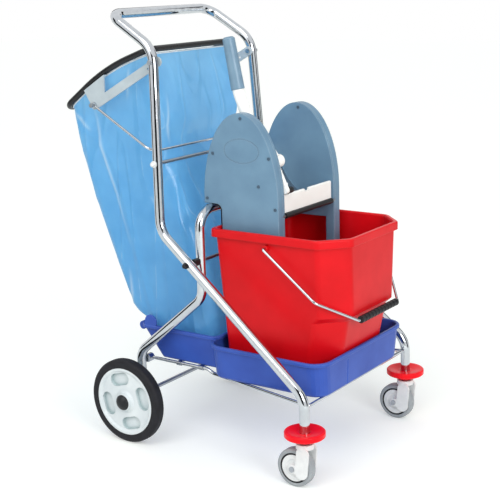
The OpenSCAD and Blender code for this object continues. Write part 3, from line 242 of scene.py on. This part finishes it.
# Small black fittings. Spacers, caps, plugs, caster sockets and rings, the bail's grip, the jaw's
# barrel and the lever's roller are moulded black nylon: dark and half dull, with rubbed patches
# and a fine spark-eroded grain, drawn here at 1.2 mm so that it shows.
nylon, tree = blank("black_nylon")
grain = speckle(tree, size=0.0012, detail=2.0)
rubbed = speckle(tree, size=0.03, detail=4.0)
tone = blend(tree, rubbed, "#131416", "#24262A")
gloss = remap(tree, rubbed, to=(0.34, 0.5))
round_edge = add(tree, "ShaderNodeBevel", {"samples": 4, "Radius": 0.0008})
skin = relief(tree, grain, strength=0.12, depth=0.0004, over=round_edge.outputs[0])
coat(tree, {"Base Color": tone, "Roughness": gloss, "Normal": skin, "Specular IOR Level": 0.3})
dress(nylon, "crossing_spacers", "crossing_caps", "axle_caps", "leg_plugs", "caster_socket_right",
      "caster_socket_left", "caster_ring_right", "caster_ring_left", "bail_grip", "jaw_barrel",
      "lever_roller")


# Rear wheels. Light grey polypropylene rims with four pockets, with grey shade painted into their
# depth. They turn on the axle's ends and are shod with solid black rubber that has a dusty,
# slightly scuffed face.
def moulded(name, face, shade, rub, rough, grain, drift, edge, specular=0.28, painted_recess_shade=None):
    """Plastic of one colour with a slow drift of tone, a fine grain and a paler rub on its edges.

    Grain, drift and the edge's radius are in metres; the last colour is painted shade,
    laid into the recesses that the ambient occlusion node finds.
    """
    made, tree = blank(name)
    slow = speckle(tree, size=drift, detail=3.0)
    fine = speckle(tree, size=grain, detail=2.0)
    body = blend(tree, remap(tree, slow, span=(0.3, 0.7)), face, shade)
    round_edge = add(tree, "ShaderNodeBevel", {"samples": 4, "Radius": edge})
    plain = add(tree, "ShaderNodeNewGeometry", {})
    facing = add(tree, "ShaderNodeVectorMath", {
        "operation": "DOT_PRODUCT", 0: round_edge.outputs[0], 1: plain.outputs["Normal"]})
    worn = remap(tree, facing.outputs["Value"], span=(0.985, 0.9), to=(0.0, 0.45))
    tone = blend(tree, worn, body, rub)
    # Painted shade: where the ambient occlusion node finds a recess, the tone is darkened towards
    # the given colour.
    if painted_recess_shade:
        occlusion = add(tree, "ShaderNodeAmbientOcclusion", {
            "samples": 8, "only_local": True, "Distance": 0.02})
        recess_darkening = remap(tree, occlusion.outputs["AO"], span=(0.9, 0.5))
        tone = blend(tree, recess_darkening, tone, painted_recess_shade)
    gloss = remap(tree, slow, to=(rough - 0.06, rough + 0.08))
    skin = relief(tree, fine, strength=0.1, depth=0.0004, over=round_edge.outputs[0])
    coat(tree, {"Base Color": tone, "Roughness": gloss, "Normal": skin,
                "Specular IOR Level": specular})
    return made


rim_plastic = moulded(
    "grey_polypropylene_rim", face="#E4EAEC", shade="#D3DADE", rub="#F2F5F6", rough=0.42,
    grain=0.0012, drift=0.05, edge=0.0012, painted_recess_shade="#B0C0C2")
dress(rim_plastic, "rear_rim_right", "rear_rim_left")
tyre_rubber = moulded(
    "black_rubber_tyre", face="#1B1B1F", shade="#26262B", rub="#2C2C31", rough=0.6,
    grain=0.0016, drift=0.02, edge=0.0015, specular=0.22)
dress(tyre_rubber, "rear_tyre_right", "rear_tyre_left")

# Bumper discs. Soft red vinyl discs clipped on the front legs above the casters,
# which ward off walls and furniture. A clear, bright red with little shine.
red_vinyl = moulded(
    "red_vinyl_bumper", face="#FF0C1E", shade="#F6081A", rub="#F0525C", rough=0.3,
    grain=0.0014, drift=0.03, edge=0.0012, specular=0.18)
dress(red_vinyl, "bumper_right", "bumper_left")

# Casters. White nylon forks and hubs on a zinc axle, a black inner ring,
# and a grey rubber tread, duller than the nylon, that leaves no marks.
white_nylon = moulded(
    "white_nylon_caster", face="#ECEEEE", shade="#DFE2E3", rub="#FFFFFF", rough=0.35,
    grain=0.0012, drift=0.02, edge=0.001)
dress(white_nylon, "caster_fork_right", "caster_fork_left", "caster_hub_right", "caster_hub_left")
tread_rubber = moulded(
    "grey_rubber_tread", face="#A6ABAF", shade="#93999E", rub="#BCC1C4", rough=0.55,
    grain=0.001, drift=0.015, edge=0.001, specular=0.4)
dress(tread_rubber, "caster_tyre_right", "caster_tyre_left")

# Tie-rod nuts. White turned nylon nuts screwed on the rod that joins the uprights.
# They look like small smooth white buttons.
nut_nylon = moulded(
    "white_nylon_nut", face="#EFF0EF", shade="#E2E4E4", rub="#FFFFFF", rough=0.3,
    grain=0.001, drift=0.01, edge=0.0006)
dress(nut_nylon, "tie_rod_nuts")

# Tray. One blue polypropylene moulding with a bag bay and a bucket bay; it rests on the carrier.
# Moulded polypropylene has a soft sheen and shows pale scuffs on its rims.
blue_plastic = moulded(
    "blue_polypropylene", face="#3659B6", shade="#304EA8", rub="#7C95D6", rough=0.36,
    grain=0.0016, drift=0.07, edge=0.0018)
dress(blue_plastic, "tray")

# Bag arms and clamp. Flat steel arms in grey paint carry the ring; a black rubber profile
# pushed over the ring holds the bag's edge. The paint is half matt, the rubber has more shine.
grey_paint = moulded(
    "grey_painted_steel", face="#BFCAD0", shade="#B3BEC5", rub="#DFE6EA", rough=0.38,
    grain=0.0014, drift=0.03, edge=0.0008)
dress(grey_paint, "bag_arm_right", "bag_arm_left")
black_rubber = moulded(
    "black_rubber_profile", face="#0C0D10", shade="#14161A", rub="#14161A", rough=0.28,
    grain=0.0012, drift=0.03, edge=0.001, specular=0.4)
dress(black_rubber, "clamp_profile")

# Bucket. A red polypropylene moulding with cut front corners, a deep rolled rim and two ears
# for the bail. A deep, even red with a soft sheen and paler edges.
red_plastic = moulded(
    "red_polypropylene", face="#DE0C18", shade="#D00A14", rub="#F04A48", rough=0.34,
    grain=0.0016, drift=0.08, edge=0.002, specular=0.2)
dress(red_plastic, "bucket", "bail_ears")

# Mop press. Grey-blue moulded cheeks with covers under grey plugs and rubber pads at the heel,
# a perforated trough of brushed stainless sheet between them, with lines along the brushing,
# and a white jaw that the lever presses against the mop.
cheek_plastic = moulded(
    "grey_blue_polypropylene", face="#7093AD", shade="#6587A2", rub="#A3BCCE", rough=0.36,
    grain=0.0016, drift=0.06, edge=0.004, specular=0.4)
dress(cheek_plastic, "press_side_right", "press_side_left", "press_cover_right",
      "press_cover_left")
dress(black_rubber, "heel_pads")
plug_nylon = moulded(
    "grey_nylon_plug", face="#4C6172", shade="#42566A", rub="#7E95A6", rough=0.4,
    grain=0.001, drift=0.01, edge=0.0006)
dress(plug_nylon, "cover_screws")
white_plastic = moulded(
    "white_polypropylene", face="#FFFFFC", shade="#FBFAF6", rub="#FFFFFF", rough=0.38,
    grain=0.0014, drift=0.04, edge=0.0012)
dress(white_plastic, "jaw_plate", "lever_hub")
steel, tree = blank("brushed_stainless_sheet")
brushing = add(tree, "ShaderNodeMapping", {
    "Vector": here(tree), "Scale": (1 / 0.0008, 1 / 0.04, 1 / 0.0008)})
lines = add(tree, "ShaderNodeTexNoise", {
    "Vector": brushing.outputs[0], "Scale": 1.0, "Detail": 3.0}).outputs[0]
tone = blend(tree, lines, "#C4C7CA", "#A9ADB1")
gloss = remap(tree, lines, to=(0.24, 0.4))
scratch = relief(tree, lines, strength=0.12, depth=0.0004)
coat(tree, {"Base Color": tone, "Metallic": 1.0, "Roughness": gloss, "Normal": scratch})
dress(steel, "press_trough")

# Lever. A white tube bent back towards the bag, with a grey-blue vinyl sleeve on its end that is
# smooth with a soft shine. Both are the solids, drawn a little shorter to end where the real ones
# do: their end slides down the lever's axis, and the sleeve is trimmed.
vinyl = moulded(
    "grey_vinyl_sleeve", face="#7A98AE", shade="#6C89A0", rub="#A9C0D0", rough=0.34,
    grain=0.0014, drift=0.03, edge=0.002, specular=0.45)
lever_back, lever_rise = 0.022, 0.112  # how far the sleeve leans back in its rise
drop, trim = 0.012, 0.008
bend_zone, end_zone = -0.02, 0.03  # where the tube starts to slide, and its end in the sleeve
lever_lean = math.atan2(lever_back, lever_rise)
lever_axis = Vector((-math.sin(lever_lean), 0, math.cos(lever_lean)))
sleeve = nodes["lever_grip"]
reaches = [lever_axis.dot(sleeve.matrix_world @ v.co) for v in sleeve.data.vertices]
foot, sleeve_l = min(reaches), max(reaches) - min(reaches)
for name, made, finish in (
    ("lever_arm", white_plastic, "white_plastic"),
    ("lever_grip", vinyl, "grip_grey"),
):
    source = nodes[name]
    piece = bpy.data.objects.new("short_" + name, source.data.copy())
    bpy.context.scene.collection.objects.link(piece)
    piece.matrix_world = source.matrix_world.copy()
    back = source.matrix_world.inverted()
    for v in piece.data.vertices:
        point = source.matrix_world @ v.co
        reach = lever_axis.dot(point) - foot
        if name == "lever_grip":
            v.co = back @ (point - lever_axis * (drop + trim * reach / sleeve_l))
        elif reach > bend_zone:
            v.co = back @ (point - lever_axis * (drop + (trim if reach > end_zone else 0)))
    piece.data.materials.clear()
    piece.data.materials.append(made)
    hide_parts(name)
    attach(piece, "lever")


# Bag. A blue polythene sack: thin glossy film that lets light through, hangs from the ring,
# runs down behind the uprights and slumps into the tray's rear bay. It is lofted through levels,
# then folded. Its x runs from the rear axle and its heights from the floor, in metres.
def ring_height(x):
    """Height of the ring's axis, which is two straight runs with a bend between them."""
    front, middle, rear = (0.056, 0.903), (-0.073, 0.858), (-0.202, 0.765)
    bend = 0.52
    d1 = Vector((middle[0] - front[0], middle[1] - front[1])).normalized()
    d2 = Vector((rear[0] - middle[0], rear[1] - middle[1])).normalized()
    reach = bend * math.tan(math.acos(d1.dot(d2)) / 2)
    t1, t2 = Vector(middle) - d1 * reach, Vector(middle) + d2 * reach
    hub = t1 + Vector((-d1.y, d1.x)) * bend
    if x > t1.x:
        return front[1] + (x - front[0]) * d1.y / d1.x
    if x < t2.x:
        return rear[1] + (x - rear[0]) * d2.y / d2.x
    return hub.y + math.sqrt(bend**2 - (x - hub.x) ** 2)


# Rear x, front x, half width, height at the rear and at the front, corner radius.
# The last level has no height of its own: it hangs under the ring.
levels = [
    (0.048, 0.184, 0.131, 0.1925, 0.1925, 0.030),
    (0.038, 0.190, 0.135, 0.213, 0.213, 0.034),
    (0.006, 0.190, 0.140, 0.258, 0.258, 0.036),
    (-0.050, 0.190, 0.143, 0.290, 0.290, 0.034),
    (-0.070, 0.190, 0.146, 0.330, 0.330, 0.032),
    (-0.1065, 0.165, 0.150, 0.420, 0.440, 0.036),
    (-0.157, 0.100, 0.151, 0.545, 0.600, 0.040),
    (-0.181, 0.075, 0.155, 0.650, 0.692, 0.032),
    (-0.188, 0.081, 0.158, 0.706, 0.762, 0.026),
    (-0.194, 0.052, 0.157, None, None, 0.026),
]
ROUND, STEPS = 320, 20  # points round a level, and rows from one level to the next
RING_DROP = 0.0075


def outline(rear, front, half, corner):
    """Points evenly spaced round a rounded rectangle, from the middle of its front edge."""
    mid, a, b = (rear + front) / 2, (front - rear) / 2, half
    arc = math.pi / 2 * corner
    runs = [b - corner, arc, 2 * (a - corner), arc, 2 * (b - corner), arc, 2 * (a - corner), arc,
            b - corner]
    total = sum(runs)
    points = []
    for i in range(ROUND):
        s = total * i / ROUND
        k = 0
        while s > runs[k]:
            s -= runs[k]
            k += 1
        if k % 2:
            quarter = k // 2
            swing = math.pi / 2 * quarter + s / corner
            cx, cy = ((1, 1), (-1, 1), (-1, -1), (1, -1))[quarter]
            points.append((mid + cx * (a - corner) + corner * math.cos(swing),
                           cy * (b - corner) + corner * math.sin(swing)))
        else:
            points.append(((mid + a, s), (mid + a - corner - s, b), (mid - a, b - corner - s),
                           (mid - a + corner + s, -b), (mid + a, s - b + corner))[k // 2])
    return points


def level_points(level):
    rear, front, half, low, high, corner = level
    found = []
    for x, y in outline(rear, front, half, corner):
        if low is None:
            z = ring_height(x) - RING_DROP
        else:
            z = low + (high - low) * (x - rear) / (front - rear)
        found.append(Vector((x, y, z)))
    return found


rings = [level_points(level) for level in levels]
points = []
for k in range(len(rings) - 1):
    before, after = rings[max(k - 1, 0)], rings[min(k + 2, len(rings) - 1)]
    for j in range(STEPS):
        t = j / STEPS
        for p0, p1, p2, p3 in zip(before, rings[k], rings[k + 1], after):
            square, cube = 2 * p0 - 5 * p1 + 4 * p2 - p3, 3 * p1 - p0 - 3 * p2 + p3
            points.append(p1 + 0.5 * t * ((p2 - p0) + t * (square + t * cube)))
points += rings[-1]
rows = len(points) // ROUND


def crease(p, lean, wide, tall):
    """Zero along sharp ridges that run down the film, one in the flat panels between them."""
    steep, bow = 5.0, 0.7
    place = Vector(((p.x + lean * p.z) / wide, (p.y - lean * p.z) / wide, p.z / tall))
    return min(1.0, steep * abs(noise.noise(place))) ** bow


# Sharp folds as points of (share of the rows, share of the way round), from the mouth down.
sharp_folds = (
    ((0.965, 0.696), (0.672, 0.713), (0.570, 0.700)),
    ((0.930, 0.890), (0.850, 0.880), (0.770, 0.888)),
    ((0.985, 0.809), (0.930, 0.788)),
    ((0.970, 0.640), (0.880, 0.680)),
    ((0.533, 0.672), (0.340, 0.625)),
)
FOLD_WIDE, FOLD_TALL = 0.0035, 0.002  # a share of the way round, and metres


def sharpness(height, around):
    """One on a sharp fold, falling to zero beside it and towards its ends."""
    best = 0.0
    for path in sharp_folds:
        top, foot = path[0][0], path[-1][0]
        for (h0, s0), (h1, s1) in zip(path, path[1:]):
            if h1 <= height <= h0:
                beside = around - s0 - (s1 - s0) * (h0 - height) / (h0 - h1)
                fade = math.sin(math.pi * (top - height) / (top - foot))
                best = max(best, fade * math.exp(-((beside / FOLD_WIDE) ** 2)))
    return best


# Long folds hang from the clamp, fine ones fade on the way down, and the bottom is crumpled.
LONG_DEEP, FINE_DEEP, CRUMPLE_DEEP = 0.004, 0.003, 0.004
PINCH = 12  # the clamp keeps the film flat, and folds are full a twelfth of the way down
middles = [sum((points[r * ROUND + i] for i in range(ROUND)), Vector()) / ROUND
           for r in range(rows)]
film, fold_and_highlight = [], []
for r in range(rows):
    down = 1 - r / (rows - 1)
    pinch = min(1.0, down * PINCH)
    for i in range(ROUND):
        p = points[r * ROUND + i]
        inward = (middles[r] - p) * Vector((1, 1, 0))
        inward.normalize()
        hung = LONG_DEEP * crease(p, lean=0.3, wide=0.16, tall=0.9)
        fine = FINE_DEEP * crease(p, lean=-0.1, wide=0.06, tall=0.3) * math.exp(-3 * down)
        crumple = CRUMPLE_DEEP * crease(p, lean=0.7, wide=0.07, tall=0.09) * down**3
        fold = pinch * (hung + fine + crumple)
        # The sharp folds dent the film and also carry a painted highlight, stored on the points.
        fold_and_highlight.append(sharpness(1 - down, i / ROUND))
        film.append(p + inward * (fold - FOLD_TALL * fold_and_highlight[-1]) + Vector((AXLE_X, 0, 0)))
faces = [(r * ROUND + i, r * ROUND + (i + 1) % ROUND,
          (r + 1) * ROUND + (i + 1) % ROUND, (r + 1) * ROUND + i)
         for r in range(rows - 1) for i in range(ROUND)]
bottom = len(film)
film.append(sum((film[i] for i in range(ROUND)), Vector()) / ROUND)
faces += [(bottom, (i + 1) % ROUND, i) for i in range(ROUND)]
sack = mesh_piece("bag_film", film, faces)
folds = sack.data.attributes.new("fold_and_highlight", "FLOAT", "POINT")
folds.data.foreach_set("value", fold_and_highlight + [0.0])

polythene, tree = blank("blue_polythene_film")  # glossy and cloudy, with painted highlights in white along its sharp folds and some creases
cloud = speckle(tree, size=0.05, detail=4.0)
hang = add(tree, "ShaderNodeMapping", {
    "Vector": here(tree), "Rotation": (0.12, -0.2, 0), "Scale": (1 / 0.09, 1 / 0.09, 1 / 0.7)})
wrinkle = add(tree, "ShaderNodeTexNoise", {
    "Vector": hang.outputs[0], "Scale": 1.0, "Detail": 1.0, "Distortion": 0.3})
offset = add(tree, "ShaderNodeMath", {"operation": "SUBTRACT", 0: wrinkle.outputs[0], 1: 0.5})
hollow = add(tree, "ShaderNodeMath", {"operation": "ABSOLUTE", 0: offset.outputs[0]}).outputs[0]
depth = remap(tree, hollow, span=(0.0, 0.05))
tone = blend(tree, remap(tree, cloud, span=(0.35, 0.65)), "#5CAAE2", "#6CB8EC")
# Painted highlight: some of the wrinkle ridges are paled towards white.
ridge_highlight_mask = remap(tree, hollow, span=(0.009, 0.0))
some = remap(tree, cloud, span=(0.5, 0.62), to=(0.0, 0.5))
pale = add(tree, "ShaderNodeMath", {"operation": "MULTIPLY", 0: ridge_highlight_mask, 1: some})
# Painted highlight: the film is paled towards white along the sharp folds.
painted_fold_highlight = add(tree, "ShaderNodeAttribute", {"attribute_name": "fold_and_highlight"})
white = add(tree, "ShaderNodeMath", {
    "operation": "MULTIPLY_ADD", 0: painted_fold_highlight.outputs["Fac"], 1: 0.85, 2: pale.outputs[0]})
tone_with_painted_highlight = blend(tree, white.outputs[0], tone, "#DDF1FC")
gloss = remap(tree, cloud, to=(0.12, 0.3))
height = add(tree, "ShaderNodeMath", {"operation": "MULTIPLY_ADD", 0: cloud, 1: 0.25, 2: depth})
ruffle = add(tree, "ShaderNodeBump", {
    "Height": height.outputs[0], "Strength": 0.45, "Distance": 0.004, "invert": True})
skin = add(tree, "ShaderNodeBsdfPrincipled", {
    "Base Color": tone_with_painted_highlight, "Roughness": gloss, "Normal": ruffle.outputs[0],
    "Specular IOR Level": 0.6})
through = add(tree, "ShaderNodeBsdfTranslucent", {"Color": linear("#B0E4FF")})
thin = add(tree, "ShaderNodeMixShader", {0: 0.46, 1: skin.outputs[0], 2: through.outputs[0]})
add(tree, "ShaderNodeOutputMaterial", {"Surface": thin.outputs[0]})
sack.data.materials.append(polythene)
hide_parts("bag")
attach(sack, "cart")

# Bag hem. A white welded bead runs round the sack just under the clamp,
# where the film is doubled over and shows pale.
HEM_R, HEM_SIDES = 0.0016, 8
HEM_OUT, HEM_DOWN = 0.0005, 0.002  # the bead's axis, from the film's edge
hem_points, hem_faces = [], []
edge = [film[(rows - 1) * ROUND + i] for i in range(ROUND)]
for i in range(ROUND):
    following = (i + 1) % ROUND
    along = (edge[following] - edge[i - 1]).normalized()
    side = along.cross(Vector((0, 0, 1))).normalized()
    upward = side.cross(along)
    centre = edge[i] + side * HEM_OUT - upward * HEM_DOWN
    for k in range(HEM_SIDES):
        a = 2 * math.pi * k / HEM_SIDES
        hem_points.append(centre + side * HEM_R * math.cos(a) + upward * HEM_R * math.sin(a))
        beside = (k + 1) % HEM_SIDES
        hem_faces.append((i * HEM_SIDES + k, i * HEM_SIDES + beside,
                          following * HEM_SIDES + beside, following * HEM_SIDES + k))
hem = mesh_piece("bag_hem", hem_points, hem_faces)
welded_film = moulded(
    "white_welded_film", face="#EEF3F7", shade="#DCE6EE", rub="#FFFFFF", rough=0.35,
    grain=0.0012, drift=0.02, edge=0.0006)
hem.data.materials.append(welded_film)
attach(hem, "cart")
